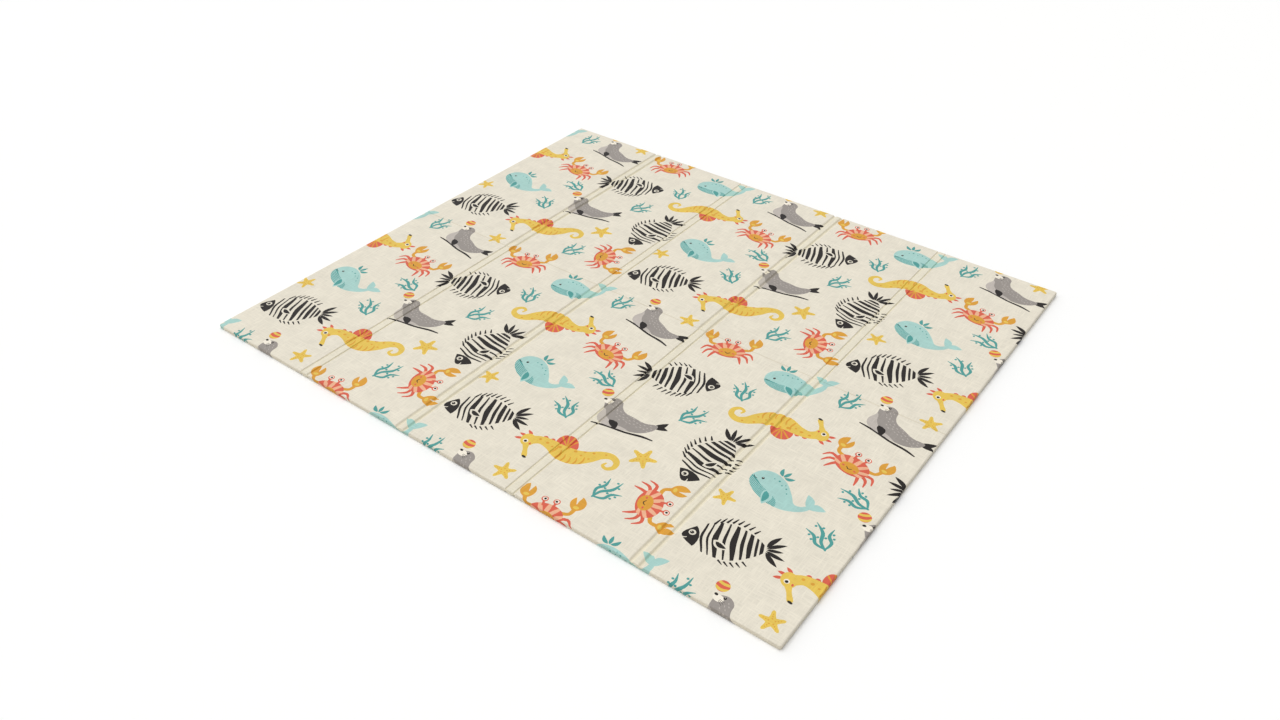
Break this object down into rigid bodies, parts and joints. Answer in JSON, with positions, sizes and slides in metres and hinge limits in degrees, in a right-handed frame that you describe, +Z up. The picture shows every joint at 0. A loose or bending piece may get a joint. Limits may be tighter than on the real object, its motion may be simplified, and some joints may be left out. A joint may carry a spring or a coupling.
{
  "type": "folding foam play mat",
  "caption": "Flat rectangular foam play mat with a rounded rim and printed film, with paired pressed fold lines that let it bend in two and close up in a zigzag.",
  "frame": {"origin": "middle of the underside, on the floor", "axes": "+X across the fold lines, the longest side; +Y along the fold lines; +Z up through the thickness"},
  "size_m": [2, 1.8, 0.015],
  "materials": {
    "printed_film": "finely embossed off-white film over closed-cell foam, low sheen, with a printed pattern"
  },
  "bodies": {
    "root": {"mat": "printed_film"}
  },
  "joints": []
}
